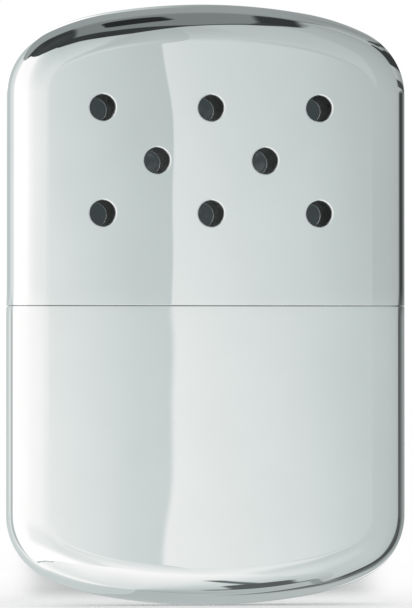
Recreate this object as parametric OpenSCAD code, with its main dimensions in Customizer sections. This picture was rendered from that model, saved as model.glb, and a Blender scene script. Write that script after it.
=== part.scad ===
// Catalytic hand warmer: a drawn fuel tank, a vented cover that pulls off its neck,
// and a burner that pulls off the filling mouth.
// Front face towards -Y, bottom crown resting at z = 0.

/* [Body] */
// Width over the full-round sides
body_w = 66.5; // [63:0.5:75]
// Height from the bottom crown to the top crown
body_h = 99.5; // [92:0.5:110]
// Thickness from the front face to the back face
body_t = 13; // [12:0.5:15]
// Height of the seam between tank and lid
seam_z = 49.5; // [46:0.5:54]
// Thickness of the sheet that the lid and the tank are drawn from
wall = 0.45; // [0.35:0.05:0.6]
// Radius on the outer edge of the lid and of the tank at the seam
seam_r = 0.15; // [0.05:0.05:0.2]
// Radius of the shallow crown at each end
crown_r = 97.5; // [86:0.5:108]
// Angle from the middle of the crown to its end
crown_half = 10; // [7:0.5:12]
// Radius of the shoulder that follows the crown
shoulder_r = 38; // [32:0.5:44]
// Angle from the middle of the crown to the end of the shoulder
shoulder_half = 25.6; // [20:0.1:28]

/* [Vents] */
// Diameter of a vent hole in the lid
vent_d = 4.2; // [3:0.1:5.5]
// Radius on the outer edge of a vent
vent_rim_r = 0.2; // [0.1:0.05:0.25]
// Distance between the vents of one row
vent_pitch_x = 18; // [15:0.5:19]
// Distance between two rows of vents
vent_pitch_z = 8.7; // [7:0.1:10]
// Height of the middle row above the seam
vent_mid_h = 23.9; // [22:0.1:26]
// Vents in the top row and in the bottom row
vents_outer = 3; // [2:1:3]
// Vents in the middle row
vents_inner = 2; // [1:1:3]

/* [Neck] */
// Height of the neck above the seam
neck_rise = 5; // [4:0.1:6]
// Depth that the neck reaches down inside the tank
neck_depth = 6; // [4:0.5:9]
// Thickness of the neck sheet
neck_wall = 0.45; // [0.35:0.05:0.6]
// Sliding gap between the neck and the lid
neck_gap = 0.1; // [0.08:0.02:0.16]
// Radius that turns the neck over into its deck
neck_edge_r = 1.2; // [0.8:0.1:1.4]

/* [Mouth] */
// Length over the filling collar
mouth_l = 29; // [26:0.5:33]
// Width over the filling collar
mouth_w = 7.6; // [7.2:0.1:8]
// Thickness of the collar wall
collar_wall = 0.4; // [0.3:0.05:0.5]
// Height of the collar above the deck
collar_rise = 2.5; // [2:0.1:2.7]
// Width of the flange that is brazed under the deck
flange_w = 1; // [0.6:0.1:1.4]
// Thickness of that flange
flange_t = 0.4; // [0.3:0.05:0.6]
// Gap between the collar and the hole in the deck
braze_gap = 0.05; // [0.03:0.01:0.1]

/* [Burner skirt and grid] */
// Thickness of the burner sheet
burner_wall = 0.35; // [0.3:0.05:0.4]
// Sliding gap between the collar and the skirt
burner_gap = 0.06; // [0.05:0.01:0.1]
// Height of the skirt
skirt_h = 3.1; // [3:0.1:3.8]
// Width of the turned-out foot of the skirt
foot_w = 0.5; // [0.3:0.05:0.6]
// Width of the ledge inside the top of the skirt
ledge_w = 1.2; // [0.8:0.1:1.6]
// Width of the slits that let the skirt spring
slit_w = 0.4; // [0.3:0.05:0.7]
// Height of those slits above the foot of the skirt
slit_h = 1.6; // [1:0.1:1.8]
// Thickness of the grid under the catalyst
grid_t = 0.3; // [0.2:0.05:0.4]
// Diameter of a hole in the grid
grid_hole_d = 1.6; // [1:0.1:1.8]
// Distance between two holes in the grid
grid_pitch = 2.7; // [2.3:0.1:3.2]

/* [Burner cage] */
// Height of the cage above the skirt
cage_rise = 4.6; // [4:0.1:5]
// Height of the band that laps over the skirt
cage_lap = 0.9; // [0.6:0.1:1.1]
// Gap between the cage and what it holds
cage_gap = 0.03; // [0.02:0.01:0.06]
// Radius that turns the cage over at its top
cage_edge_r = 1.6; // [1:0.1:2]
// Number of windows along the cage
windows = 6; // [4:1:6]
// Width of a window
window_w = 2.5; // [1.8:0.1:2.7]
// Distance between two windows
window_pitch = 3.6; // [3.3:0.1:3.8]
// Height of the closed band under the windows, above the skirt
sill_h = 0.9; // [0.6:0.1:1.5]

/* [Fillings] */
// Gap that packed fibre keeps from the metal around it
fibre_gap = 0.12; // [0.08:0.02:0.2]
// Radius on the top edge of the catalyst mat
mat_edge_r = 1.3; // [0.8:0.1:1.8]
// Depth of the wick pad below the top of the collar
pad_recess = 0.6; // [0.4:0.1:1]

/* [Hidden] */
$fn = 96;

// Every cut runs this far past the face it opens, and stacked solids overlap by it
overshoot = 1;

// Neighbouring sectors overlap by this angle, at this depth under their skin
tie_turn = 0.5;
tie_depth = wall / 3;

// Ends of the lid and the tank: crown, shoulder and corner arcs that meet without a kink.
// The corner radius, to a thousandth, is the one that brings the outline down to the straight side.
edge_r = body_t / 2;
side_run = body_w - body_t;
shoulder_x = (crown_r - shoulder_r) * sin(crown_half);
corner_free = body_w / 2 - shoulder_x - shoulder_r * sin(shoulder_half);
corner_r = round(1000 * corner_free / (1 - sin(shoulder_half))) / 1000;
corner_x = shoulder_x + (shoulder_r - corner_r) * sin(shoulder_half);

// Heights of the neck, the mouth and the burner
deck_z = seam_z + neck_rise;
flange_z = deck_z - neck_wall - flange_t;
collar_z = deck_z + collar_rise;
wadding_z = flange_z - fibre_gap;
skirt_z = deck_z + skirt_h;
grid_z = skirt_z + grid_t;
cage_z = skirt_z + cage_rise;

// Radii of the round ends, from the outside in
neck_r = edge_r - wall - neck_gap;
mouth_r = mouth_w / 2;
mouth_run = mouth_l - mouth_w;
skirt_in_r = mouth_r + burner_gap;
skirt_r = skirt_in_r + burner_wall;
cage_in_r = skirt_r + cage_gap;
cage_r = cage_in_r + burner_wall;
mat_r = cage_in_r - fibre_gap;

// Moves to a point in two steps, so that a long decimal keeps its last digits
module place(point) {
    coarse = [for (c = point) round(1000 * c) / 1000];
    translate(coarse) translate(point - coarse) children();
}

// Section of the body from its mid-plane out: flat faces that end in a full round
module full_round(start, reach, inset) {
    round_r = edge_r - inset;
    translate([start, -round_r]) square([reach - start, 2 * round_r]);
    intersection() {
        place([reach, 0]) circle(r = round_r);
        translate([start, -round_r]) square([reach - start + round_r, 2 * round_r]);
    }
}

// Turns that section about an axis through the thickness, from one angle to another.
// A core under its skin runs past both ends, so that it overlaps the sector beside it.
module end_sector(x, z, r, start, angles, inset) {
    turn = angles[1] - angles[0];
    place([x, 0, z])
        rotate([90, 0, 0]) {
            rotate_extrude(angle = turn, start = angles[0])
                full_round(start, r - edge_r, inset);
            rotate_extrude(angle = turn + 2 * tie_turn, start = angles[0] - tie_turn)
                full_round(start, r - edge_r, inset + tie_depth);
        }
}

// Solid of one half of the body: open end at z = 0, crown at z = rise.
// It is drawn in by inset, and runs down by foot past the open end.
module half_form(rise, inset, foot) {
    crown_c = rise - crown_r;
    shoulder_c = crown_c + (crown_r - shoulder_r) * cos(crown_half);
    corner_c = shoulder_c + (shoulder_r - corner_r) * cos(shoulder_half);
    crown_end = 90 - crown_half;
    shoulder_end = 90 - shoulder_half;
    end_sector(0, crown_c, crown_r, crown_r - rise / 2, [crown_end, 180 - crown_end], inset);
    for (side = [0, 180]) rotate([0, 0, side]) {
        end_sector(shoulder_x, shoulder_c, shoulder_r, 0, [shoulder_end, crown_end], inset);
        end_sector(corner_x, corner_c, corner_r, 0, [0, shoulder_end], inset);
        place([0, 0, corner_c])
            translate([0, 0, -corner_c - foot])
                linear_extrude(height = corner_c + foot)
                    full_round(0, corner_x + corner_r - edge_r, inset);
    }
}

// Sweeps a profile, drawn as radius and height, round a stadium whose centres are run apart
module stadium_sweep(run) {
    for (side = [-1, 1])
        translate([side * run / 2, 0, 0])
            rotate_extrude(angle = 180, start = -90 * side) children();
    for (side = [0, 180])
        rotate([0, 0, side])
            translate([-run / 2, 0, 0])
                rotate([90, 0, 90])
                    linear_extrude(height = run) children();
}

// Flat stadium from one height to another
module stadium_block(run, r, low, high) {
    stadium_sweep(run) translate([0, low]) square([r, high - low]);
}

// Drawn cup of one half of the body, with the outer edge of its open end rounded
module half_shell(rise) {
    difference() {
        half_form(rise, 0, 0);
        half_form(rise, wall, overshoot);
        stadium_sweep(side_run)
            difference() {
                translate([edge_r - seam_r, -overshoot])
                    square([seam_r + overshoot, seam_r + overshoot]);
                translate([edge_r - seam_r, seam_r]) circle(r = seam_r);
            }
    }
}

// Quarter of a ring, the section of a turned-over edge
module quarter_ring(r, thick) {
    intersection() {
        difference() {
            circle(r = r);
            circle(r = r - thick);
        }
        square([r, r]);
    }
}

// Section of an inverted cup: a wall, a turned-over edge and a flat top
module cup_section(r, thick, turn_r, low, high) {
    translate([r - thick, low]) square([thick, high - turn_r - low]);
    translate([r - turn_r, high - turn_r]) quarter_ring(turn_r, thick);
    translate([0, high - thick]) square([r - turn_r, thick]);
}

// Centres of the vents in one row, spread evenly about the middle
function row_x(count) = [for (i = [0 : count - 1]) (i - (count - 1) / 2) * vent_pitch_x];

// Half section of a vent from the mid-plane out: a bore that flares into a rounded outer edge
module vent_section() {
    flare_r = vent_d / 2 + vent_rim_r;
    difference() {
        square([flare_r, edge_r + overshoot]);
        translate([flare_r, edge_r - vent_rim_r]) circle(r = vent_rim_r);
        translate([vent_d / 2, 0]) square([vent_rim_r, edge_r - vent_rim_r]);
    }
}

// Vents of all three rows, through the front face and the back face
module vent_bores() {
    for (row = [-1, 0, 1], x = row_x(row == 0 ? vents_inner : vents_outer), turn = [90, -90])
        translate([x, 0, seam_z + vent_mid_h + row * vent_pitch_z])
            rotate([turn, 0, 0]) rotate_extrude() vent_section();
}

// Lower cup, drawn in one piece
module tank_shell() {
    color([0.78, 0.81, 0.81])
        translate([0, 0, seam_z]) rotate([180, 0, 0]) half_shell(seam_z);
}

// Upper closure of the tank: the neck that the lid slides on, turned over into a deck
module neck_shell() {
    color([0.72, 0.75, 0.75])
        difference() {
            stadium_sweep(side_run)
                cup_section(neck_r, neck_wall, neck_edge_r, seam_z - neck_depth, deck_z);
            stadium_block(mouth_run, mouth_r + braze_gap, deck_z - neck_wall - overshoot,
                deck_z + overshoot);
        }
}

// Filling collar: it stands up through the deck on a flange, with a rounded lip
module mouth_collar() {
    lip_r = collar_wall / 2;
    color([0.75, 0.78, 0.78])
        stadium_sweep(mouth_run) {
            translate([mouth_r - collar_wall, flange_z])
                square([collar_wall, collar_z - lip_r - flange_z]);
            translate([mouth_r, flange_z]) square([flange_w, flange_t]);
            intersection() {
                translate([mouth_r - lip_r, collar_z - lip_r]) circle(r = lip_r);
                translate([mouth_r - collar_wall, collar_z - lip_r])
                    square([collar_wall, lip_r]);
            }
        }
}

// Cotton packing that fills the tank and the inside of the neck
module fuel_wadding() {
    tank_fill = seam_z - neck_depth - fibre_gap;
    color([0.93, 0.91, 0.86]) {
        translate([0, 0, tank_fill]) rotate([180, 0, 0])
            half_form(tank_fill, wall + fibre_gap, 0);
        stadium_block(side_run, neck_r - neck_wall - fibre_gap, tank_fill - overshoot, wadding_z);
    }
}

// Felt pad that leads the fuel up into the mouth
module wick_pad() {
    color([0.86, 0.84, 0.78])
        stadium_block(mouth_run, mouth_r - collar_wall - fibre_gap, wadding_z,
            collar_z - pad_recess);
}

// Skirt that slides over the collar, with a turned-out foot and a ledge for the grid
module burner_skirt() {
    slit_x = mouth_run / 2;
    color([0.70, 0.71, 0.70])
        difference() {
            stadium_sweep(mouth_run) {
                translate([skirt_in_r, deck_z]) square([burner_wall, skirt_h]);
                translate([skirt_r, deck_z]) square([foot_w, burner_wall]);
                translate([skirt_in_r - ledge_w, skirt_z - burner_wall])
                    square([ledge_w, burner_wall]);
            }
            for (x = [-slit_x, slit_x])
                translate([x - slit_w / 2, -body_t / 2, deck_z - overshoot])
                    cube([slit_w, body_t, slit_h + overshoot]);
        }
}

// Perforated floor that carries the catalyst
module burner_grid() {
    columns = floor((mouth_run + skirt_in_r) / grid_pitch);
    color([0.66, 0.67, 0.66])
        difference() {
            stadium_block(mouth_run, skirt_r, skirt_z, grid_z);
            for (i = [0 : columns - 1])
                for (side = [-1, 1])
                    translate([(i - (columns - 1) / 2) * grid_pitch, side * grid_pitch / 2,
                        skirt_z - overshoot])
                        cylinder(d = grid_hole_d, h = grid_t + 2 * overshoot);
        }
}

// Pad of platinum-coated glass fibre inside the cage
module catalyst_mat() {
    mat_z = cage_z - burner_wall - fibre_gap;
    color([0.80, 0.79, 0.76])
        stadium_sweep(mouth_run) {
            translate([0, grid_z]) square([mat_r, mat_z - mat_edge_r - grid_z]);
            translate([0, mat_z - mat_edge_r]) square([mat_r - mat_edge_r, mat_edge_r]);
            translate([mat_r - mat_edge_r, mat_z - mat_edge_r]) quarter_ring(mat_edge_r, mat_edge_r);
        }
}

// One window: a slot with a round foot, cut up through the top of the cage
module window(reach) {
    foot_z = skirt_z + sill_h + window_w / 2;
    translate([0, -reach / 2, foot_z]) {
        translate([-window_w / 2, 0, 0]) cube([window_w, reach, cage_rise]);
        translate([0, reach, 0]) rotate([90, 0, 0]) cylinder(d = window_w, h = reach);
    }
}

// Cage over the catalyst: bars that arch from the front to the back, and one window at each end
module burner_cage() {
    color([0.74, 0.75, 0.74])
        difference() {
            stadium_sweep(mouth_run)
                cup_section(cage_r, burner_wall, cage_edge_r, skirt_z - cage_lap, cage_z);
            for (i = [0 : windows - 1])
                translate([(i - (windows - 1) / 2) * window_pitch, 0, 0]) window(2 * cage_r + overshoot);
            for (side = [-1, 1])
                translate([side * (mouth_run / 2 + cage_r + burner_wall), 0, 0])
                    rotate([0, 0, 90]) window(cage_r);
        }
}

// Cover with the vents, drawn in one piece
module lid_shell() {
    color([0.80, 0.83, 0.83])
        difference() {
            translate([0, 0, seam_z]) half_shell(body_h - seam_z);
            vent_bores();
        }
}

tank_shell();
neck_shell();
mouth_collar();
fuel_wadding();
wick_pad();
burner_skirt();
burner_grid();
catalyst_mat();
burner_cage();
lid_shell();
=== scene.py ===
import math
import random

import bpy
import numpy as np
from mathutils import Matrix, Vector, bvhtree, geometry, noise


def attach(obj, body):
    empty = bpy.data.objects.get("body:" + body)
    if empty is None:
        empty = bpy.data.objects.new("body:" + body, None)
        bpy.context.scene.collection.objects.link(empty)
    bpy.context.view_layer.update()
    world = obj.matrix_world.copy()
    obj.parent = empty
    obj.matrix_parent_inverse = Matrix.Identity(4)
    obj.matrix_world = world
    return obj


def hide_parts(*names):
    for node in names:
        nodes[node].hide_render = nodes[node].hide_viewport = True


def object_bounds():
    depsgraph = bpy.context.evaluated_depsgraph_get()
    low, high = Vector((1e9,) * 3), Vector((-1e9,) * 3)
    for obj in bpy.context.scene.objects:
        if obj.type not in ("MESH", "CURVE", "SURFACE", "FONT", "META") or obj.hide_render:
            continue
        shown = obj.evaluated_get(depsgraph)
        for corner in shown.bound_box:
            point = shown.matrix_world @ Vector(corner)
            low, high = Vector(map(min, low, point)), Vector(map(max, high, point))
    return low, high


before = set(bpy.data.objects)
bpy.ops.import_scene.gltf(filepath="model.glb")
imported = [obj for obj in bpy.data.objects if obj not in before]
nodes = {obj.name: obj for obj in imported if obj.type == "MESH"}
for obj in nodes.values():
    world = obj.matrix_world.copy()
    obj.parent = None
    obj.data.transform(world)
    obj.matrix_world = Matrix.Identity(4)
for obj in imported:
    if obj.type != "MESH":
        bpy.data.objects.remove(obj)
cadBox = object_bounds()
mm = 0.001


# camera
photoView = {
    "azimuth": -7.8,        # degrees, towards -X
    "elevation": -0.7,
    "distance": 1.05,       # metres
    "target": (0.0, 0.0, 0.04985),
    "frameHeight": 0.10076,  # height that the picture shows at the target
    "sensor": 36.0,
}


def makeCamera(s):
    a, e = math.radians(s["azimuth"]), math.radians(s["elevation"])
    back = Vector((math.sin(a) * math.cos(e), -math.cos(a) * math.cos(e), math.sin(e)))
    data = bpy.data.cameras.new("photoCamera")
    data.sensor_fit = "VERTICAL"
    data.sensor_width = data.sensor_height = s["sensor"]
    data.lens = s["sensor"] * s["distance"] / s["frameHeight"]
    data.clip_start, data.clip_end = 0.01, 60.0
    camera = bpy.data.objects.new("photoCamera", data)
    camera.location = Vector(s["target"]) + back * s["distance"]
    camera.rotation_mode = "QUATERNION"
    camera.rotation_quaternion = (-back).to_track_quat("-Z", "Y")
    bpy.context.scene.collection.objects.link(camera)
    bpy.context.scene.camera = camera


makeCamera(photoView)
bpy.context.scene.view_settings.view_transform = "Standard"
print("camera ready")


# small helpers for node trees
def addNode(tree, kind, **settings):
    node = tree.nodes.new(kind)
    for key, value in settings.items():
        setattr(node, key, value)
    return node


def feed(tree, socket, value):
    # a value is another node's output, or a plain number or colour
    if isinstance(value, bpy.types.NodeSocket):
        tree.links.new(value, socket)
    else:
        socket.default_value = value


def calc(tree, operation, *values):
    node = addNode(tree, "ShaderNodeMath", operation=operation)
    for socket, value in zip(node.inputs, values):
        feed(tree, socket, value)
    return node.outputs[0]


def ease(tree, value, start, end, low=0.0, high=1.0, shape="SMOOTHSTEP"):
    node = addNode(tree, "ShaderNodeMapRange", interpolation_type=shape)
    for name, given in (("Value", value), ("From Min", start), ("From Max", end),
                        ("To Min", low), ("To Max", high)):
        feed(tree, node.inputs[name], given)
    return node.outputs[0]


def blendTones(tree, mask, under, over):
    node = addNode(tree, "ShaderNodeMix", data_type="FLOAT")
    for name, value in (("Factor", mask), ("A", under), ("B", over)):
        feed(tree, node.inputs[name], value)
    return node.outputs[0]


def ramp(tree, value, stops, mode="LINEAR"):
    node = addNode(tree, "ShaderNodeValToRGB")
    band = node.color_ramp
    band.interpolation = mode
    while len(band.elements) < len(stops):
        band.elements.new(0.5)
    for element, (at, tone) in zip(band.elements, stops):
        element.position = at
        element.color = (*tone, 1.0) if isinstance(tone, (tuple, list)) else (tone,) * 3 + (1.0,)
    feed(tree, node.inputs[0], value)
    return node.outputs[0]


def noiseOf(tree, vector, scale, detail=2.0, roughness=0.5, stretch=None):
    if stretch:
        turned = addNode(tree, "ShaderNodeMapping")
        turned.inputs["Scale"].default_value = stretch
        feed(tree, turned.inputs["Vector"], vector)
        vector = turned.outputs[0]
    node = addNode(tree, "ShaderNodeTexNoise")
    feed(tree, node.inputs["Vector"], vector)
    node.inputs["Scale"].default_value = scale
    node.inputs["Detail"].default_value = detail
    node.inputs["Roughness"].default_value = roughness
    return node.outputs[0]


# the studio that the metal mirrors, as directions in degrees: azimuth 0 is in front of the warmer,
# 90 at its right, and elevation 0 is level. Tones are what the plate shows, from 0 to 255.
# A list gives a value over the azimuth. Two numbers are where something starts and is full, two more
# its values there, and three are where it starts, where it ends and how soft its ends are.
studio = {
    "plateTint": 0.82,      # share of the light that the plate gives back
    "gamma": 2.2,
    "redness": (0.78, 0.98, 0.93, 1.03),  # dark tones lean to green-blue
    "greenBlue": 0.99,
    "waver": (3.0, 10.0),   # how often edges waver, and by how many degrees
    "spotWaver": 0.12,
}
walls = {
    "upper": [(-180, 250), (-168, 238), (-158, 190), (-140, 195), (-128, 218), (-115, 228), (-110, 258),
              (-64, 256), (-52, 245), (-36, 236), (-8, 231), (4, 224), (12, 187), (60, 184), (98, 178),
              (107, 165), (114, 66), (130, 68), (139, 122), (150, 143), (168, 140), (176, 200), (180, 250)],
    "lower": [(-180, 194), (-160, 196), (-145, 210), (-133, 236), (-128, 182), (-121, 182), (-117, 258),
              (-68, 253), (-48, 248), (-20, 243), (4, 233), (12, 198), (60, 194), (90, 188), (102, 180),
              (106, 88), (113, 90), (120, 106), (130, 140), (142, 152), (165, 155), (180, 194)],
    "divide": (0.55, 0.85),  # between the two, level with the seam as the camera sees it
    "upperFall": [(-180, 0), (-70, 10), (-50, 28), (-12, 38), (4, 42), (12, 6), (100, 12), (180, 0)],
    "fallHeights": (2.5, 48.0),
    "rightGlow": (3.0, 10.0, 0.0, 8.0), "rightGlowSpan": (9.0, 30.0, 3.0),
    "riseSides": (4.0, 12.0), "riseLeft": (-26.0, -46.0), "riseRight": (-9.0, -42.0),
    "riseTone": (8.0, 34.0, 34.0, 4.0),
    "leftFall": (-4.0, -18.0, 0.0, 11.0), "leftFallSpan": (-66.0, 3.0, 10.0),
    # over the horizon the black door on the right ends, and the back is white on the left
    "doorEnd": (3.0, 6.0), "doorSpan": (104.0, 150.0, 3.0), "doorTone": (110.0, 150.0, 180.0, 138.0),
    "whiteStart": (2.0, 5.0), "whiteSide": (-160.0, -150.0, 1.0, 0.0), "whiteTone": 262.0,
    "greyStart": (2.0, 6.0), "greySpan": (150.0, 172.0, 3.0), "greyTone": 150.0,
}
ahead = {  # the part of the walls that the flat faces mirror
    "span": (2.5, 11.0, 1.5), "startTone": 226, "halves": (7.485, 7.495),
    "steps": [  # azimuth from, to, and the change of tone
        (6.30, 6.54, -7), (6.54, 7.17, -15), (7.17, 7.46, -4), (7.485, 7.495, 26),
        (7.52, 8.35, -11), (8.35, 8.71, -5), (8.71, 9.24, -15), (9.24, 12, -7),
    ],
    "faceFall": (0.9, 3.4, 0.0, 9.0), "faceEndAbove": (3.0, 16.0),
    "edgeAbove": ((4.0, 45.0, 190.0, 178.0), (4.0, 45.0, 200.0, 182.0)),
    "faceRise": (0.5, -1.8, 5.0, 10.0), "faceEndBelow": (-2.2, -9.0),
    "edgeBelow": ((-4.0, -26.0, 222.0, 240.0), (-4.0, -30.0, 228.0, 238.0)),
}
# on the ceiling and the floor, u runs to the right and v to the front, in degrees from right above or
# below. Straight things there go from, to, and have half their width and a tone.
ceiling = {
    "edge": [(-180, 38), (-140, 38), (-122, 33), (-108, 36), (-96, 43), (-68, 46), (-50, 50),
             (-28, 55), (-12, 50), (-2, 44), (3, 42), (9, 50), (20, 57), (36, 64), (60, 70),
             (90, 73), (110, 72), (125, 60), (150, 58), (180, 38)],
    "edgeSoft": 0.7, "edgeWaver": 0.3,
    "tone": (-6.0, -17.0, 126.0, 152.0),
    "rightStart": (16.0, 40.0), "rightBack": (10.0, -10.0), "rightTone": 165.0,
    "panelLeft": (-11.0, -13.0), "panelLean": 0.76, "panelCorner": (30.0, 32.0),
    "panelBack": (-14.0, -12.0), "panelRight": (13.0, 11.0), "panelTone": 64.0, "panelWaver": 4.0,
    "beams": [((-1, 1), (0, 14), 4.0, 46), ((14.5, -7), (15, 20), 2.2, 58),
              ((13.5, 20), (12.5, 33), 0.9, 70), ((12.5, 33), (7, 40), 0.9, 70)],
    "moulding": (0.2, 2.4, 0.6), "mouldingSpan": (-48.0, 52.0, 5.0),
    "mouldingShare": 0.72, "mouldingTone": 58.0,
}
streaks = {  # dark ones behind on the right, that fan down to the horizon
    "fanFrom": 174.0, "lowest": 0.5, "waver": 0.04, "soft": 0.06,
    "each": ((0.92, 1.1, 70.0), (1.3, 2.4, 58.0), (4.4, 7.5, 72.0)),
    "heights": (2.5, 50.0, 2.0), "behind": (104.0, 112.0),
}
floorPaint = {  # white in front and on the left, with a thin grey line where the left wall meets it
    "edge": [(-180, -3), (-136, -3), (-128, -24), (-124, -42), (-114, -53), (-84, -58), (-50, -60),
             (-28, -55), (-14, -47), (-4, -36), (4, -26), (9, -23), (20, -46), (36, -53), (60, -62),
             (100, -70), (130, -80), (150, -80), (180, -60)],
    "edgeSoft": 0.7, "edgeWaver": 0.2, "start": (-3.0, -6.0),
    "tone": [(-180, 200), (-150, 206), (-134, 222), (-122, 256), (-12, 256), (4, 250), (9, 242), (14, 228),
             (24, 214), (60, 205), (100, 195), (180, 195)],
    "fall": (-30.0, -88.0, 0.0, 34), "fallSides": (150.0, 60.0),
    "line": (-1.3, 1.3, 0.7), "lineSpan": (-140.0, -40.0, 8.0), "lineTone": 196.0,
    "rightWall": (126.0, 136.0), "rightWallDown": (-6.0, -44.0), "rightWallTone": 182.0,
    "things": [((9, 46), (12.5, 28), 0.8, 104), ((8.5, 14.5), (18.5, 15), 1.6, 110),
               ((13.5, 16), (12.8, 27), 3.4, 92), ((19.5, 14), (21, -6), 1.3, 150),
               ((21, -6), (28, -14), 2.0, 138), ((28, -14), (40, -16), 3.0, 104)],
    "thingsStart": (-20.0, -24.0),
    # a dark upright post low on the right, and a white streak behind it
    "postUpper": (-6.0, -18.0, 111.0, 121.0), "postLower": (-20.0, -56.0, 0.0, -19.0),
    "postWidth": (4.5, 8.0, 1.0, 0.0), "postTop": (-2.0, -5.0), "postFoot": (-70.0, -60.0), "postTone": 80.0,
    "streak": (152.0, 162.0, 2.5), "streakHeights": (-28.0, -12.0, 4.0),
    "streakTone": 246.0, "streakWaver": 0.6,
}


def product(tree, *masks):
    whole = masks[0]
    for mask in masks[1:]:
        whole = calc(tree, "MULTIPLY", whole, mask)
    return whole


def curve(tree, azimuth, points, low, high):
    # height of a line that is drawn through points, over the azimuth
    turn = calc(tree, "DIVIDE", calc(tree, "ADD", azimuth, 180.0), 360.0)
    share = ramp(tree, turn, [((a + 180) / 360, (v - low) / (high - low)) for a, v in points])
    return calc(tree, "ADD", calc(tree, "MULTIPLY", share, high - low), low)


def window(tree, value, start, end, soft):
    rise = ease(tree, value, start - soft, start + soft)
    fall = ease(tree, value, end - soft, end + soft, 1.0, 0.0)
    return product(tree, rise, fall)


class Look:
    # where a mirrored ray points
    def __init__(self, tree, s):
        coords = addNode(tree, "ShaderNodeTexCoord").outputs["Generated"]
        parts = addNode(tree, "ShaderNodeSeparateXYZ")
        tree.links.new(coords, parts.inputs[0])
        x, y, z = parts.outputs
        often, degrees = s["waver"]
        self.tree = tree
        self.az = calc(tree, "DEGREES", calc(tree, "ARCTAN2", x, calc(tree, "MULTIPLY", y, -1.0)))
        self.el = calc(tree, "DEGREES", calc(tree, "ARCSINE", z))
        self.drift = product(tree, calc(tree, "SUBTRACT", noiseOf(tree, coords, often, 3.0), 0.5), degrees)
        turn = calc(tree, "RADIANS", self.az)
        tilt = calc(tree, "SUBTRACT", 90.0, calc(tree, "ABSOLUTE", self.el))
        self.u = product(tree, tilt, calc(tree, "SINE", turn))
        self.v = product(tree, tilt, calc(tree, "COSINE", turn))
        spot = addNode(tree, "ShaderNodeCombineXYZ")
        feed(tree, spot.inputs[0], self.wavy(self.u, s["spotWaver"]))
        feed(tree, spot.inputs[1], self.wavy(self.v, -s["spotWaver"]))
        self.spot = spot.outputs[0]

    def wavy(self, value, share):
        return calc(self.tree, "ADD", value, product(self.tree, self.drift, share))


def vectorMath(tree, operation, *values):
    node = addNode(tree, "ShaderNodeVectorMath", operation=operation)
    for socket, value in zip(node.inputs, values):
        feed(tree, socket, value)
    return node


def stroke(look, tone, start, end, half, shade):
    # a straight thing with round ends, on the ceiling or the floor
    t = look.tree
    run = (end[0] - start[0], end[1] - start[1], 0.0)
    square = run[0] ** 2 + run[1] ** 2
    there = vectorMath(t, "SUBTRACT", look.spot, (*start, 0.0)).outputs[0]
    along = calc(t, "DIVIDE", vectorMath(t, "DOT_PRODUCT", there, run).outputs["Value"], square)
    near = vectorMath(t, "SCALE", run)
    feed(t, near.inputs["Scale"], calc(t, "MINIMUM", calc(t, "MAXIMUM", along, 0.0), 1.0))
    off = vectorMath(t, "SUBTRACT", there, near.outputs[0]).outputs[0]
    off = vectorMath(t, "LENGTH", off).outputs["Value"]
    return blendTones(t, ease(t, off, half - 0.5, half + 0.5, 1.0, 0.0), tone, shade)


def paintAhead(look, s, wall, above):
    # the few degrees of a wall that the flat faces mirror, with their fine steps
    t, az, el = look.tree, look.az, look.el
    face = s["startTone"]
    for start, end, change in s["steps"]:
        face = calc(t, "ADD", face, ease(t, az, start, end, 0.0, change, "LINEAR"))
    if above:
        face = calc(t, "SUBTRACT", face, ease(t, el, *s["faceFall"], "LINEAR"))
    else:
        face = calc(t, "ADD", face, ease(t, el, *s["faceRise"], "LINEAR"))
    left, right = s["edgeAbove"] if above else s["edgeBelow"]
    edge = blendTones(t, ease(t, az, *s["halves"]), ease(t, el, *left), ease(t, el, *right))
    face = blendTones(t, ease(t, el, *(s["faceEndAbove"] if above else s["faceEndBelow"])), face, edge)
    return blendTones(t, window(t, az, *s["span"]), wall, face)


def paintWalls(look, s):
    t, az, el = look.tree, look.az, look.el
    upper, lower = curve(t, az, s["upper"], 0, 300), curve(t, az, s["lower"], 0, 300)
    fall = product(t, ease(t, el, *s["fallHeights"], shape="LINEAR"), curve(t, az, s["upperFall"], 0, 50))
    upper = calc(t, "SUBTRACT", upper, fall)
    glow = product(t, ease(t, el, *s["rightGlow"]), window(t, az, *s["rightGlowSpan"]))
    upper = paintAhead(look, ahead, calc(t, "ADD", upper, glow), True)
    rise = blendTones(t, ease(t, az, *s["riseSides"]), ease(t, el, *s["riseLeft"]),
                      ease(t, el, *s["riseRight"]))
    lower = calc(t, "ADD", lower, product(t, rise, ease(t, az, *s["riseTone"], "LINEAR")))
    fall = product(t, ease(t, el, *s["leftFall"]), window(t, az, *s["leftFallSpan"]))
    lower = paintAhead(look, ahead, calc(t, "SUBTRACT", lower, fall), False)
    door = product(t, ease(t, el, *s["doorEnd"]), window(t, az, *s["doorSpan"]))
    upper = blendTones(t, door, upper, ease(t, az, *s["doorTone"], "LINEAR"))
    white = product(t, ease(t, el, *s["whiteStart"]), ease(t, look.wavy(az, 1.0), *s["whiteSide"]))
    upper = blendTones(t, white, upper, s["whiteTone"])
    grey = product(t, ease(t, el, *s["greyStart"]), window(t, az, *s["greySpan"]))
    upper = blendTones(t, grey, upper, s["greyTone"])
    return blendTones(t, ease(t, el, *s["divide"]), lower, upper)


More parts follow.
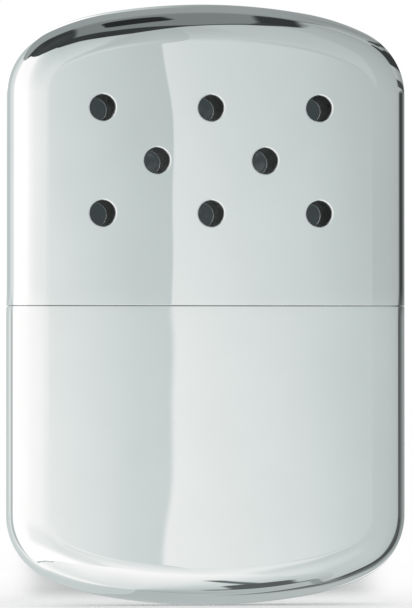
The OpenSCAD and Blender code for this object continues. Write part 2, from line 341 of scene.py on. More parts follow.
def paintCeiling(look, s, tone):
    # a dark panel on the left, dark beams, a dark moulding, and grey that pales towards the back
    t, az, el, u, v = look.tree, look.az, look.el, look.u, look.v
    above = calc(t, "SUBTRACT", el, curve(t, az, s["edge"], 0, 90))
    shade = ease(t, v, *s["tone"])
    right = product(t, ease(t, u, *s["rightStart"]), ease(t, v, *s["rightBack"]))
    shade = blendTones(t, right, shade, s["rightTone"])
    slant = calc(t, "SUBTRACT", v, product(t, u, s["panelLean"]))
    reach = calc(t, "MAXIMUM", ease(t, u, *s["panelLeft"]), ease(t, slant, *s["panelCorner"]))
    panel = product(t, reach, ease(t, v, *s["panelBack"]), ease(t, u, *s["panelRight"]))
    panelTone = calc(t, "ADD", s["panelTone"], product(t, look.drift, s["panelWaver"]))
    shade = blendTones(t, panel, shade, panelTone)
    for beam in s["beams"]:
        shade = stroke(look, shade, *beam)
    moulding = product(t, window(t, above, *s["moulding"]), window(t, az, *s["mouldingSpan"]),
                       s["mouldingShare"])
    shade = blendTones(t, moulding, shade, s["mouldingTone"])
    edge = look.wavy(above, s["edgeWaver"])
    return blendTones(t, ease(t, edge, -s["edgeSoft"], s["edgeSoft"]), tone, shade)


def paintStreaks(look, s, tone):
    t, az, el = look.tree, look.az, look.el
    fan = calc(t, "DIVIDE", calc(t, "SUBTRACT", s["fanFrom"], az), calc(t, "MAXIMUM", el, s["lowest"]))
    fan = look.wavy(fan, s["waver"])
    for start, end, shade in s["each"]:
        streak = product(t, window(t, fan, start, end, s["soft"]), window(t, el, *s["heights"]),
                         ease(t, az, *s["behind"]))
        tone = blendTones(t, streak, tone, shade)
    return tone


def paintFloor(look, s, tone):
    t, az, el = look.tree, look.az, look.el
    fall = product(t, ease(t, el, *s["fall"], "LINEAR"), ease(t, calc(t, "ABSOLUTE", az), *s["fallSides"]))
    floor = calc(t, "SUBTRACT", curve(t, az, s["tone"], 0, 300), fall)
    below = look.wavy(calc(t, "SUBTRACT", el, curve(t, az, s["edge"], -90, 0)), s["edgeWaver"])
    mask = product(t, ease(t, below, s["edgeSoft"], -s["edgeSoft"]), ease(t, el, *s["start"]))
    tone = blendTones(t, mask, tone, floor)
    line = product(t, window(t, below, *s["line"]), window(t, az, *s["lineSpan"]))
    tone = blendTones(t, line, tone, s["lineTone"])
    wall = product(t, ease(t, az, *s["rightWall"]), ease(t, el, *s["rightWallDown"]))
    tone = blendTones(t, wall, tone, s["rightWallTone"])
    withThings = tone
    for thing in s["things"]:
        withThings = stroke(look, withThings, *thing)
    tone = blendTones(t, ease(t, el, *s["thingsStart"]), tone, withThings)
    lean = calc(t, "ADD", ease(t, el, *s["postUpper"]), ease(t, el, *s["postLower"]))
    off = calc(t, "ABSOLUTE", calc(t, "SUBTRACT", look.wavy(az, 1.0), lean))
    post = product(t, ease(t, off, *s["postWidth"]), ease(t, el, *s["postTop"]), ease(t, el, *s["postFoot"]))
    tone = blendTones(t, post, tone, s["postTone"])
    streak = product(t, window(t, look.wavy(az, s["streakWaver"]), *s["streak"]),
                     window(t, el, *s["streakHeights"]))
    return blendTones(t, streak, tone, s["streakTone"])


def makeStudio(s):
    world = bpy.data.worlds.new("studio")
    bpy.context.scene.world = world
    world.use_nodes = True
    t = world.node_tree
    t.nodes.clear()
    look = Look(t, s)
    tone = paintCeiling(look, ceiling, paintWalls(look, walls))
    tone = paintFloor(look, floorPaint, paintStreaks(look, streaks, tone))
    # tone to light: 255 is 1.0 behind the plate's tint
    share = calc(t, "MAXIMUM", calc(t, "DIVIDE", tone, 255.0), 0.0)
    light = calc(t, "DIVIDE", calc(t, "POWER", share, s["gamma"]), s["plateTint"])
    red = product(t, light, ease(t, share, *s["redness"]))
    painted = addNode(t, "ShaderNodeCombineColor")
    for socket, value in zip(painted.inputs, (red, light, product(t, light, s["greenBlue"]))):
        feed(t, socket, value)
    mirrored = addNode(t, "ShaderNodeBackground")
    t.links.new(painted.outputs[0], mirrored.inputs["Color"])
    plainLight = addNode(t, "ShaderNodeBackground")
    plainLight.inputs["Color"].default_value = (1, 1, 1, 1)
    choose = addNode(t, "ShaderNodeMixShader")
    t.links.new(addNode(t, "ShaderNodeLightPath").outputs["Is Glossy Ray"], choose.inputs[0])
    t.links.new(plainLight.outputs[0], choose.inputs[1])
    t.links.new(mirrored.outputs[0], choose.inputs[2])
    t.links.new(choose.outputs[0], addNode(t, "ShaderNodeOutputWorld").inputs[0])


makeStudio(studio)


def newMaterial(name):
    material = bpy.data.materials.new(name)
    material.use_nodes = True
    tree = material.node_tree
    tree.nodes.clear()
    shader = addNode(tree, "ShaderNodeBsdfPrincipled")
    out = addNode(tree, "ShaderNodeOutputMaterial")
    tree.links.new(shader.outputs[0], out.inputs[0])
    return material, tree, shader, out


def meshObject(name, points, faces, normals=None, material=None):
    mesh = bpy.data.meshes.new(name)
    mesh.from_pydata([tuple(map(float, p)) for p in points], [], faces)
    mesh.update()
    mesh.polygons.foreach_set("use_smooth", [True] * len(mesh.polygons))
    if normals is not None:
        mesh.normals_split_custom_set_from_vertices([tuple(map(float, n)) for n in normals])
    thing = bpy.data.objects.new(name, mesh)
    if material:
        mesh.materials.append(material)
    bpy.context.scene.collection.objects.link(thing)
    return thing


def objectPoint(tree):
    return addNode(tree, "ShaderNodeTexCoord").outputs["Object"]


# floor, and a sheet close behind the warmer that shows shade and nothing else, to the camera alone: the
# dark seen through the vents, and the soft shade under the lower corners
stageSet = {
    "floorHalf": 8.0, "floorGrain": 40.0, "floorTones": [(0.3, 0.985), (0.6, 1.0)],
    "sheetBox": (-36.0 * mm, 36.0 * mm, 0.3 * mm, 144.0 * mm),  # x from, to, z from, to
    "sheetGap": 0.05 * mm,  # so close that no other view finds it
    "shadeTone": (0.045, 0.056, 0.058, 1.0),
    "ventReach": 90.0 * mm,
    "ventOpen": (0.14, 0.08),  # share of the sky over the sheet, where the shade starts and is full
    "ventSides": (27.0 * mm, 24.0 * mm), "ventHeight": (50.0 * mm, 54.0 * mm),
    "footReach": 12.0 * mm, "footOpen": (0.62, 0.15, 0.0, 0.5),
    "footSides": (33.0 * mm, 26.0 * mm), "footTop": (15.0 * mm, 9.0 * mm), "footBottom": (0.2 * mm, 2.6 * mm),
}


def openSky(tree, reach, samples):
    node = addNode(tree, "ShaderNodeAmbientOcclusion", samples=samples)
    node.inputs["Distance"].default_value = reach
    return node.outputs["AO"]


def makeFloor(s):
    h = s["floorHalf"]
    floor = meshObject("floor", [(-h, -h, 0), (h, -h, 0), (h, h, 0), (-h, h, 0)], [(0, 1, 2, 3)])
    material, tree, shader, out = newMaterial("whitePaint")
    tree.nodes.remove(shader)
    matte = addNode(tree, "ShaderNodeBsdfDiffuse")
    grain = noiseOf(tree, objectPoint(tree), s["floorGrain"], 3.0)
    tree.links.new(ramp(tree, grain, s["floorTones"]), matte.inputs["Color"])
    # a camera under the floor sees through it
    ray, face = addNode(tree, "ShaderNodeLightPath"), addNode(tree, "ShaderNodeNewGeometry")
    through = addNode(tree, "ShaderNodeMixShader")
    feed(tree, through.inputs[0], product(tree, ray.outputs["Is Camera Ray"], face.outputs["Backfacing"]))
    tree.links.new(matte.outputs[0], through.inputs[1])
    tree.links.new(addNode(tree, "ShaderNodeBsdfTransparent").outputs[0], through.inputs[2])
    tree.links.new(through.outputs[0], out.inputs[0])
    floor.data.materials.append(material)
    floor.visible_glossy = False
    return floor


def makeShadeSheet(s):
    x0, x1, z0, z1 = s["sheetBox"]
    y = cadBox[1].y + s["sheetGap"]
    # no real paper: a sheet of painted shade, a fixed dark tone shown to the camera where ambient occlusion
    # finds the sky cut off
    sheet = meshObject("paintedShadeSheet", [(x0, y, z0), (x1, y, z0), (x1, y, z1), (x0, y, z1)], [(0, 1, 2, 3)])
    material, tree, shader, out = newMaterial("shadeOnly")
    tree.nodes.remove(shader)
    parts = addNode(tree, "ShaderNodeSeparateXYZ")
    feed(tree, parts.inputs[0], objectPoint(tree))
    side, height = calc(tree, "ABSOLUTE", parts.outputs[0]), parts.outputs[2]
    behind = product(tree, ease(tree, openSky(tree, s["ventReach"], 64), *s["ventOpen"]),
                     ease(tree, side, *s["ventSides"]), ease(tree, height, *s["ventHeight"]))
    foot = product(tree, ease(tree, openSky(tree, s["footReach"], 16), *s["footOpen"]),
                   ease(tree, height, *s["footTop"]), ease(tree, side, *s["footSides"]),
                   ease(tree, height, *s["footBottom"]))
    ray, face = addNode(tree, "ShaderNodeLightPath"), addNode(tree, "ShaderNodeNewGeometry")
    front = calc(tree, "SUBTRACT", 1.0, face.outputs["Backfacing"])
    shown = product(tree, ray.outputs["Is Camera Ray"], front, calc(tree, "MAXIMUM", behind, foot))
    dark = addNode(tree, "ShaderNodeEmission")
    dark.inputs[0].default_value = s["shadeTone"]
    choose = addNode(tree, "ShaderNodeMixShader")
    feed(tree, choose.inputs[0], shown)
    tree.links.new(addNode(tree, "ShaderNodeBsdfTransparent").outputs[0], choose.inputs[1])
    tree.links.new(dark.outputs[0], choose.inputs[2])
    tree.links.new(choose.outputs[0], out.inputs[0])
    sheet.data.materials.append(material)
    return sheet


makeFloor(stageSet)
makeShadeSheet(stageSet)
print("studio ready")


# metals
def bump(tree, shader, height, distance, strength=1.0):
    node = addNode(tree, "ShaderNodeBump")
    node.inputs["Strength"].default_value = strength
    node.inputs["Distance"].default_value = distance
    feed(tree, node.inputs["Height"], height)
    tree.links.new(node.outputs[0], shader.inputs["Normal"])
    return node


def chromePlate(name, colour, gloss, brush, brushDepth):
    material, tree, shader, out = newMaterial(name)
    shader.inputs["Metallic"].default_value = 1.0
    place = objectPoint(tree)
    cloud = noiseOf(tree, place, 90.0, 3.0)
    lines = noiseOf(tree, place, 1.0, 4.0, 0.65, stretch=brush)
    tint = ramp(tree, cloud, [(0.3, tuple(c * 0.97 for c in colour)), (0.7, colour)])
    tree.links.new(tint, shader.inputs["Base Color"])
    wear = calc(tree, "ADD", calc(tree, "MULTIPLY", cloud, 0.5), calc(tree, "MULTIPLY", lines, 0.5))
    rough = ease(tree, wear, 0.3, 0.7, gloss[0], gloss[1])
    tree.links.new(rough, shader.inputs["Roughness"])
    bump(tree, shader, lines, brushDepth)
    return material


def dullInside(name, colour):
    material, tree, shader, out = newMaterial(name)
    shader.inputs["Metallic"].default_value = 1.0
    place = objectPoint(tree)
    grain = noiseOf(tree, place, 2600.0, 3.0, 0.7)
    cloud = noiseOf(tree, place, 240.0, 4.0)
    mottle = calc(tree, "ADD", calc(tree, "MULTIPLY", grain, 0.6), calc(tree, "MULTIPLY", cloud, 0.4))
    tint = ramp(tree, mottle, [(0.35, tuple(c * 0.6 for c in colour)), (0.65, colour)])
    tree.links.new(tint, shader.inputs["Base Color"])
    tree.links.new(ease(tree, mottle, 0.3, 0.7, 0.55, 0.38), shader.inputs["Roughness"])
    bump(tree, shader, mottle, 0.02 * mm)
    return material


plateColour = (0.80, 0.83, 0.83)
lidPlate = chromePlate("lidChrome", plateColour, (0.002, 0.008), (60.0, 60.0, 2400.0), 0.00002 * mm)
tankPlate = chromePlate("tankChrome", plateColour, (0.004, 0.012), (45.0, 45.0, 5200.0), 0.0001 * mm)
insidePlate = dullInside("dullNickel", (0.46, 0.49, 0.49))


# drawn halves of the body
bodyForm = {  # millimetres
    "halfWidth": 33.25, "edge": 6.5, "wall": 0.45, "seam": 49.5, "top": 99.5,
    "crown": (97.5, 10.0), "shoulder": (38.0, 25.6),  # radius, and half its angle in degrees from the middle
    "lip": 0.16,            # radius on the edge at the seam
    "slit": 0.022,          # half the gap between the two lips
    "ventHole": 2.1, "ventRim": 0.3,  # radius of a vent, and of its rounded rim
    "ventRows": [(64.7, (-18, 0, 18)), (73.4, (-9, 9)), (82.1, (-18, 0, 18))],
    "gridStep": 1.6,        # between points on the flats
}


def spineOf(form, rise):
    # line that the round edge turns about: points, outward directions, from the left seam over the top
    crownR, crownHalf = form["crown"]
    shoulderR, shoulderHalf = form["shoulder"]
    c, h = math.radians(crownHalf), math.radians(shoulderHalf)
    shoulderX = (crownR - shoulderR) * math.sin(c)
    free = form["halfWidth"] - shoulderX - shoulderR * math.sin(h)
    cornerR = free / (1 - math.sin(h))
    cornerX = shoulderX + (shoulderR - cornerR) * math.sin(h)
    crownZ = rise - crownR
    shoulderZ = crownZ + (crownR - shoulderR) * math.cos(c)
    cornerZ = shoulderZ + (shoulderR - cornerR) * math.cos(h)
    edge = form["edge"]
    right = []
    for k in range(30):
        right.append((cornerX + cornerR - edge, form["lip"] + (cornerZ - form["lip"]) * k / 30, 0.0))
    runs = ((cornerX, cornerZ, cornerR, 0.0, 90 - shoulderHalf, 26),
            (shoulderX, shoulderZ, shoulderR, 90 - shoulderHalf, 90 - crownHalf, 12),
            (0.0, crownZ, crownR, 90 - crownHalf, 90.0, 15))
    for x, z, r, start, end, count in runs:
        for k in range(count):
            angle = math.radians(start + (end - start) * k / count)
            right.append((x + (r - edge) * math.cos(angle), z + (r - edge) * math.sin(angle), angle))
    left = [(-x, z, math.pi - angle) for x, z, angle in right]
    middle = [(0.0, rise - edge, math.pi / 2)]
    return left + middle + right[::-1]


class Patchwork:
    # gathers points with their exact normals; a point is shared where place and normal agree
    def __init__(self):
        self.points, self.normals, self.faces, self.tags, self.known = [], [], [], [], {}

    def point(self, p, n):
        key = tuple(round(v * 2e3) for v in p) + tuple(round(v * 20) for v in n)
        if key not in self.known:
            self.known[key] = len(self.points)
            self.points.append(p)
            self.normals.append(n)
        return self.known[key]

    def face(self, corners, tag):
        corners = [c for i, c in enumerate(corners) if c != corners[i - 1]]
        if len(set(corners)) > 2:
            self.faces.append(corners)
            self.tags.append(tag)

    def strip(self, rows, tag, closed=False):
        # rows of (point, normal); neighbouring rows are joined by quads
        marks = [[self.point(p, n) for p, n in row] for row in rows]
        for lower, upper in zip(marks, marks[1:]):
            count = len(lower)
            for k in range(count if closed else count - 1):
                j = (k + 1) % count
                self.face([lower[k], lower[j], upper[j], upper[k]], tag)


def inLoop(x, z, loop):
    inside = False
    for (ax, az), (bx, bz) in zip(loop, loop[1:] + loop[:1]):
        if (az > z) != (bz > z) and x < (bx - ax) * (z - az) / (bz - az) + ax:
            inside = not inside
    return inside


def flatSide(work, loop, vents, holeR, y, facing, step, tag):
    # the flat of one face inside its outline, open at the vents
    points, edges = [], []

    def addLoop(ring):
        start = len(points)
        points.extend(Vector(p) for p in ring)
        edges.extend((start + k, start + (k + 1) % len(ring)) for k in range(len(ring)))

    addLoop(loop)
    for vx, vz in vents:
        addLoop([(vx + holeR * math.cos(a), vz + holeR * math.sin(a))
                 for a in np.linspace(0, 2 * math.pi, 48, endpoint=False)])
    xs, zs = [p[0] for p in loop], [p[1] for p in loop]
    for i, x in enumerate(np.arange(min(xs) + step, max(xs), step)):
        for z in np.arange(min(zs) + step * (0.5 + 0.5 * (i % 2)), max(zs), step):
            near = any(math.hypot(x - vx, z - vz) < holeR + step * 0.5 for vx, vz in vents)
            if near or not inLoop(x, z, loop):
                continue
            if min(math.hypot(x - a, z - b) for a, b in loop) > step * 0.5:
                points.append(Vector((x, z)))
    made = geometry.delaunay_2d_cdt(points, edges, [], 0, 1e-5)
    for tri in made[2]:
        cx = sum(made[0][k].x for k in tri) / 3
        cz = sum(made[0][k].y for k in tri) / 3
        if not inLoop(cx, cz, loop) or any(math.hypot(cx - vx, cz - vz) < holeR * 0.995 for vx, vz in vents):
            continue
        corners = [work.point((made[0][k].x, y, made[0][k].y), (0, facing, 0)) for k in tri]
        work.face(corners, tag)


def buildHalf(form, rise, vents):
    # one drawn cup, open at z = 0, outside and inside, with rounded vents and a rounded lip
    work = Patchwork()
    spine = spineOf(form, rise)
    edge, wall, lip, slit = form["edge"], form["wall"], form["lip"], form["slit"]
    turns = np.radians(np.linspace(-90, 90, 37))
    loop = [(x, z) for x, z, angle in spine]
    bottomSteps = np.linspace(spine[-1][0], spine[0][0], 30)[1:-1]
    loopWithFoot = loop + [(float(x), lip) for x in bottomSteps]

    def edgeRow(x, z, angle, r, sign):
        out = (math.cos(angle), math.sin(angle))
        row = []
        for turn in turns:
            n = (out[0] * math.cos(turn), math.sin(turn), out[1] * math.cos(turn))
            row.append(((x + r * n[0], r * n[1], z + r * n[2]), tuple(sign * v for v in n)))
        return row

    work.strip([edgeRow(x, z, a, edge, 1) for x, z, a in spine], "outside")
    work.strip([edgeRow(x, z, a, edge - wall, -1) for x, z, a in spine], "inside")
    holeOut, holeR, rim = form["ventHole"] + form["ventRim"], form["ventHole"], form["ventRim"]
    for side in (-1, 1):
        step = form["gridStep"]
        flatSide(work, loopWithFoot, vents, holeOut, side * edge, side, step, "outside")
        flatSide(work, loopWithFoot, vents, holeR, side * (edge - wall), -side, step * 1.6, "inside")
        for vx, vz in vents:
            ring = np.linspace(0, 2 * math.pi, 48, endpoint=False)
            rows = []
            for bend in np.radians(np.linspace(0, 90, 9)):
                r = holeOut - rim * math.sin(bend)
                y = side * (edge - rim * (1 - math.cos(bend)))
                lean, out = -math.sin(bend), side * math.cos(bend)
                rows.append([((vx + r * math.cos(a), y, vz + r * math.sin(a)),
                              (lean * math.cos(a), out, lean * math.sin(a))) for a in ring])
            rows.append([((p[0], side * (edge - wall), p[2]), n) for p, n in rows[-1]])
            work.strip(rows, "outside", closed=True)

    # lip: the outer wall rolls under to the seam, round the whole mouth of the cup
    mouth = [(x, -edge, (0.0, -1.0)) for x in (float(v) for v in bottomSteps[::-1])]
    rest = []
    for sign in (1, -1):
        for turn in turns if sign == 1 else turns[::-1]:
            rest.append((sign * (spine[-1][0] + edge * math.cos(turn)), edge * math.sin(turn),
                         (sign * math.cos(turn), math.sin(turn))))
        if sign == 1:
            rest += [(float(x), edge, (0.0, 1.0)) for x in bottomSteps]
    mouth = mouth + rest
    rows = []
    for bend in np.radians(np.linspace(0, 90, 6)):
        rows.append([((x - n[0] * lip * (1 - math.cos(bend)), y - n[1] * lip * (1 - math.cos(bend)),
                       lip - (lip - slit) * math.sin(bend)),
                      (n[0] * math.cos(bend), n[1] * math.cos(bend), -math.sin(bend))) for x, y, n in mouth])
    inner = [((x - n[0] * wall, y - n[1] * wall, slit), (0, 0, -1)) for x, y, n in mouth]
    rows.append(inner)
    work.strip(rows, "outside", closed=True)
    work.strip([[(p, (-n[0], -n[1], 0)) for (p, _), (x, y, n) in zip(inner, mouth)],
                [((x - n[0] * wall, y - n[1] * wall, lip), (-n[0], -n[1], 0)) for x, y, n in mouth]],
               "inside", closed=True)
    return work


def sinkOf(points, waves, bend):
    # how far the sheet lies inside its ideal surface, in millimetres: slow waves of the rolled sheet,
    # and one soft bend towards the end that was drawn deepest
    x, y, z = np.asarray(points).T
    depth = np.zeros(len(x))
    for size, (kx, ky, kz), phase in waves:
        depth += size * (1 + np.sin(x * kx + y * ky + z * kz + phase)) / 2
    slope, middle, width, start, end = bend
    share = np.clip((z - start) / (end - start), 0, 1)
    return depth + slope * width * (1 + np.tanh((x - middle) / width)) * share ** 2 * (3 - 2 * share)


def finishHalf(name, work, place, waves, bend, plate):
    points, normals = np.array(work.points, float), np.array(work.normals, float)
    points, normals = place(points), place(normals, True)
    step = 0.05
    depth = sinkOf(points, waves, bend)
    slope = np.stack([(sinkOf(points + step * axis, waves, bend) - depth) / step for axis in np.eye(3)], 1)
    slope -= (slope * normals).sum(1)[:, None] * normals
    tags = np.array([t == "outside" for t in work.tags])
    outer = np.zeros(len(points), bool)
    for face, tag in zip(work.faces, tags):
        if tag:
            outer[face] = True
    points[outer] -= normals[outer] * depth[outer][:, None]
    normals[outer] += slope[outer]
    normals /= np.linalg.norm(normals, axis=1)[:, None]
    faces = []
    for face in work.faces:
        a, b, c = (points[k] for k in face[:3])
        if np.dot(np.cross(b - a, c - a), normals[face[0]]) < 0:
            face = face[::-1]
        faces.append(face)
    thing = meshObject(name, points * mm, faces, normals, plate)
    thing.data.materials.append(insidePlate)
    thing.data.polygons.foreach_set("material_index", [0 if t else 1 for t in tags])
    return thing


def placeLid(values, direction=False):
    return values if direction else values + np.array([0, 0, bodyForm["seam"]])


def placeTank(values, direction=False):
    turned = values * np.array([1, -1, -1])
    return turned if direction else turned + np.array([0, 0, bodyForm["seam"]])


# waves: depth in millimetres, radians per millimetre along x, y and z, and where each starts
lidWaves = [(0.0010, (0.21, 0.1, 0.07), 0.4), (0.0012, (-0.09, 0.1, 0.24), 1.9),
            (0.0005, (0.37, 0.2, 0.29), 2.7)]
tankWaves = [(0.0010, (0.17, 0.1, -0.11), 2.2), (0.0012, (0.12, 0.1, 0.26), 0.7),
             (0.0005, (-0.33, 0.2, 0.31), 4.1)]
# bend: its slope, the x of its middle, its width, and the heights where it starts and is full
lidBend, tankBend = (0.0008, -8.5, 8.0, 80.0, 95.0), (0.0006, -8.0, 8.0, 22.0, 8.0)
vents = [(x, z - bodyForm["seam"]) for z, row in bodyForm["ventRows"] for x in row]

lidWork = buildHalf(bodyForm, bodyForm["top"] - bodyForm["seam"], vents)
lid = finishHalf("lid_cup", lidWork, placeLid, lidWaves, lidBend, lidPlate)
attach(lid, "cover")
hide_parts("lid_shell")
tankWork = buildHalf(bodyForm, bodyForm["seam"], [])
tank = finishHalf("tank_cup", tankWork, placeTank, tankWaves, tankBend, tankPlate)
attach(tank, "tank")
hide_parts("tank_shell")
print("lid and tank ready:", len(lid.data.polygons), len(tank.data.polygons), "faces")


# neck, collar and burner keep their exact metal; only their finish is made here
neckFinish = {
    "steel": (0.70, 0.72, 0.71), "rubbed": (0.80, 0.82, 0.81), "cornerTone": (0.47, 0.44, 0.38),
    "rubFrom": 49.5 * mm, "rubTo": 54.2 * mm, "roughness": (0.34, 0.20), "marks": (1500.0, 1500.0, 40.0),
    "cornerReach": 1.6 * mm,       # reach of the ambient occlusion test that darkens tight corners
}
burnerFinish = {
    "steel": (0.62, 0.62, 0.60), "straw": (0.60, 0.52, 0.40), "blue": (0.42, 0.44, 0.52),
    "soot": (0.20, 0.19, 0.18),
    "tintFrom": 57.6 * mm, "tintTo": 61.4 * mm, "roughness": (0.30, 0.46), "brush": (60.0, 60.0, 2600.0),
}


def colourMix(tree, mask, under, over):
    node = addNode(tree, "ShaderNodeMix", data_type="RGBA")
    feed(tree, node.inputs[0], mask)
    for socket, value in ((node.inputs[6], under), (node.inputs[7], over)):
        feed(tree, socket, (*value, 1.0) if isinstance(value, tuple) else value)
    return node.outputs[2]


def heightOf(tree, place):
    parts = addNode(tree, "ShaderNodeSeparateXYZ")
    feed(tree, parts.inputs[0], place)
    return parts.outputs[2]


def neckSteel(name, s):
    # satin sheet, rubbed bright where the lid slides, and darkened towards a brown tone in tight corners by
    # ambient occlusion
    material, tree, shader, out = newMaterial(name)
    shader.inputs["Metallic"].default_value = 1.0
    place = objectPoint(tree)
    height = heightOf(tree, place)
    marks = noiseOf(tree, place, 1.0, 5.0, 0.7, stretch=s["marks"])
    cloud = noiseOf(tree, place, 160.0, 4.0)
    rub = product(tree, ease(tree, height, s["rubFrom"], s["rubTo"]), ease(tree, cloud, 0.35, 0.6),
                  ease(tree, marks, 0.4, 0.58))
    colour = colourMix(tree, rub, s["steel"], s["rubbed"])
    # darker, browner tone where ambient occlusion is low, in tight corners, patchy by the cloud noise
    corners = ease(tree, openSky(tree, s["cornerReach"], 8), 0.75, 0.35)
    cornerDarkening = product(tree, corners, ease(tree, cloud, 0.38, 0.6, 0.25, 0.8))
    colour = colourMix(tree, cornerDarkening, colour, s["cornerTone"])
    tree.links.new(colour, shader.inputs["Base Color"])
    high, low = s["roughness"]
    rough = calc(tree, "ADD", ease(tree, rub, 0.0, 1.0, high, low), calc(tree, "MULTIPLY", cornerDarkening, 0.2))
    tree.links.new(rough, shader.inputs["Roughness"])
    bump(tree, shader, marks, 0.004 * mm)
    return material


def burnerSteel(name, s, soot):
    # brushed sheet, with straw and then blue tint from the heat at the windows
    material, tree, shader, out = newMaterial(name)
    shader.inputs["Metallic"].default_value = 1.0
    place = objectPoint(tree)
    height = heightOf(tree, place)
    lines = noiseOf(tree, place, 1.0, 5.0, 0.7, stretch=s["brush"])
    cloud = noiseOf(tree, place, 380.0, 4.0)
    warm = calc(tree, "ADD", ease(tree, height, s["tintFrom"], s["tintTo"]),
                calc(tree, "MULTIPLY", calc(tree, "SUBTRACT", cloud, 0.5), 1.1))
    colour = colourMix(tree, ease(tree, warm, 0.15, 0.7, 0.0, 0.75), s["steel"], s["straw"])
    colour = colourMix(tree, ease(tree, warm, 0.75, 1.15, 0.0, 0.6), colour, s["blue"])
    grime = calc(tree, "MULTIPLY", ease(tree, cloud, 0.42, 0.66), soot)
    colour = colourMix(tree, grime, colour, s["soot"])
    tree.links.new(colour, shader.inputs["Base Color"])
    low, high = s["roughness"]
    rough = calc(tree, "ADD", ease(tree, lines, 0.35, 0.65, low, high), calc(tree, "MULTIPLY", grime, 0.25))
    tree.links.new(rough, shader.inputs["Roughness"])
    bump(tree, shader, lines, 0.003 * mm)
    return material


def dress(node, material):
    nodes[node].data.materials.clear()
    nodes[node].data.materials.append(material)


dress("neck_shell", neckSteel("neckSteel", neckFinish))
dress("mouth_collar", neckSteel("collarSteel", neckFinish))
dress("burner_skirt", burnerSteel("skirtSteel", burnerFinish, 0.25))
dress("burner_grid", burnerSteel("gridSteel", burnerFinish, 0.7))
dress("burner_cage", burnerSteel("cageSteel", burnerFinish, 0.35))
print("neck and burner dressed")


# fillings: fibre that is packed into the metal around it
catalystMat = {
    "name": "glass_fibre_mat", "node": "catalyst_mat", "body": "burner", "slot": "catalyst_fibre",
    "fill": 0.8,
    "voxel": 0.22, "lumps": ((0.55, 0.16), (2.2, 0.10), (5.0, 0.05)),  # per millimetre, and depth
    "colours": ((0.30, 0.295, 0.285), (0.62, 0.60, 0.57), (0.80, 0.79, 0.76)),
    "threads": (1400.0, 4200.0), "relief": 0.10, "sheen": 0.25,
    "strands": 260, "strandSteps": 9, "strandStep": 0.32, "strandRadius": 0.028, "seed": 41,
}
feltPad = {
    "name": "felt_wick_pad", "node": "wick_pad", "body": "tank", "slot": "felt", "fill": 1.0,
    "voxel": 0.24, "lumps": ((0.35, 0.10), (1.6, 0.05), (4.0, 0.03)),
    "colours": ((0.66, 0.63, 0.56), (0.84, 0.82, 0.76), (0.90, 0.88, 0.83)),
    "threads": (1800.0, 3600.0), "relief": 0.05, "sheen": 0.5,
    "strands": 120, "strandSteps": 7, "strandStep": 0.25, "strandRadius": 0.02, "seed": 17,
}
cottonFill = {
    "name": "cotton_wadding", "node": "fuel_wadding", "body": "tank", "slot": "cotton", "fill": 0.9,
    "voxel": 0.9, "lumps": ((0.09, 0.7), (0.3, 0.35), (0.9, 0.15)),
    "colours": ((0.78, 0.75, 0.68), (0.90, 0.88, 0.83), (0.95, 0.94, 0.91)),
    "threads": (500.0, 1500.0), "relief": 0.2, "sheen": 0.6,
    "strands": 0, "strandSteps": 0, "strandStep": 0.0, "strandRadius": 0.0, "seed": 5,
}


def fibreMaterial(name, s):
    material, tree, shader, out = newMaterial(name)
    shader.inputs["Roughness"].default_value = 0.88
    shader.inputs["Sheen Weight"].default_value = s["sheen"]
    place = objectPoint(tree)
    coarse, fine = s["threads"]
    drift = addNode(tree, "ShaderNodeTexNoise")
    feed(tree, drift.inputs["Vector"], place)
    drift.inputs["Scale"].default_value = coarse * 0.4
    lean = vectorMath(tree, "SCALE", drift.outputs["Color"])
    lean.inputs["Scale"].default_value = 1.2 / coarse
    warped = vectorMath(tree, "ADD", place, lean.outputs[0]).outputs[0]
    stretches = ((coarse * 0.15, fine, fine), (fine, coarse * 0.2, fine), (fine, fine * 0.6, coarse * 0.2))
    threads = [noiseOf(tree, warped, 1.0, 3.0, 0.6, stretch=stretch) for stretch in stretches]
    tangle = calc(tree, "MAXIMUM", calc(tree, "MAXIMUM", threads[0], threads[1]), threads[2])
    clump = noiseOf(tree, place, coarse * 0.5, 4.0)
    tuft = calc(tree, "ADD", calc(tree, "MULTIPLY", tangle, 0.65), calc(tree, "MULTIPLY", clump, 0.35))
    dark, middle, light = s["colours"]
    colour = ramp(tree, tuft, [(0.40, dark), (0.54, middle), (0.68, light)])
    tree.links.new(colour, shader.inputs["Base Color"])
    bump(tree, shader, tuft, s["relief"] * mm)
    return material


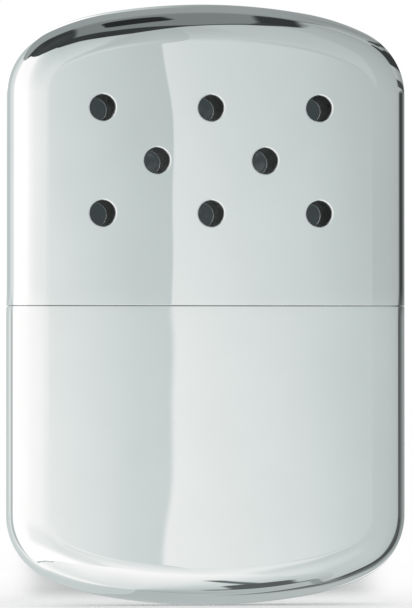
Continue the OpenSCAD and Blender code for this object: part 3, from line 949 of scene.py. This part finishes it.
def strandTubes(surface, s, points, faces):
    # loose strands that follow the surface of the pad
    pick = random.Random(s["seed"])
    count = len(surface.vertices)
    polygons = [tuple(f.vertices) for f in surface.polygons]
    tree = bvhtree.BVHTree.FromPolygons([v.co for v in surface.vertices], polygons)
    radius = s["strandRadius"] * mm
    for strand in range(s["strands"]):
        start = surface.vertices[pick.randrange(count)]
        spot, up = start.co.copy(), start.normal.copy()
        way = up.cross(Vector((pick.gauss(0, 1), pick.gauss(0, 1), pick.gauss(0, 1)))).normalized()
        curl = pick.uniform(-0.5, 0.5)
        rings = []
        for k in range(s["strandSteps"]):
            side = up.cross(way).normalized()
            lift = radius * (0.4 + 1.6 * math.sin(math.pi * k / (s["strandSteps"] - 1)))
            taper = 1.0 if 0 < k < s["strandSteps"] - 1 else 0.3
            centre = spot + up * lift
            rings.append([centre + (side * math.cos(a) + up * math.sin(a)) * radius * taper
                          for a in (0.5, 2.6, 4.7)])
            way = (way + side * curl * 0.5).normalized()
            spot, up = tree.find_nearest(spot + way * s["strandStep"] * mm)[:2]
            way = (way - up * way.dot(up)).normalized()
        base = len(points)
        points.extend(p for ring in rings for p in ring)
        for k in range(len(rings) - 1):
            for j in range(3):
                a, b = base + 3 * k + j, base + 3 * k + (j + 1) % 3
                faces.append((a, b, b + 3, a + 3))
        faces += [(base, base + 2, base + 1), tuple(base + 3 * len(rings) - 3 + j for j in range(3))]


def packedFibre(s):
    # the space that the CAD solid holds, as an even skin that is pressed in between its tufts
    skin = bpy.data.objects.new("skin", nodes[s["node"]].data.copy())
    bpy.context.scene.collection.objects.link(skin)
    grain = skin.modifiers.new("even", "REMESH")
    grain.mode, grain.voxel_size = "VOXEL", s["voxel"] * mm
    graph = bpy.context.evaluated_depsgraph_get()
    surface = bpy.data.meshes.new_from_object(skin.evaluated_get(graph))
    bpy.data.objects.remove(skin)
    offset = Vector((s["seed"], 2.0 * s["seed"], 0.0))
    moved = []
    for v in surface.vertices:
        depth = 0.02
        for often, deep in s["lumps"]:
            depth += deep * (0.5 + 0.5 * noise.noise(v.co / mm * often + offset))
        moved.append(v.co - v.normal * depth * mm)
    for v, place in zip(surface.vertices, moved):
        v.co = place
    surface.update()
    points = [v.co.copy() for v in surface.vertices]
    faces = [tuple(f.vertices) for f in surface.polygons]
    strandTubes(surface, s, points, faces)
    bpy.data.meshes.remove(surface)
    pad = meshObject(s["name"], points, faces, material=fibreMaterial(s["name"], s))
    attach(pad, s["body"])
    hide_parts(s["node"])
    print(s["name"], "ready:", len(pad.data.polygons), "faces")


for filling in (catalystMat, feltPad, cottonFill):
    packedFibre(filling)
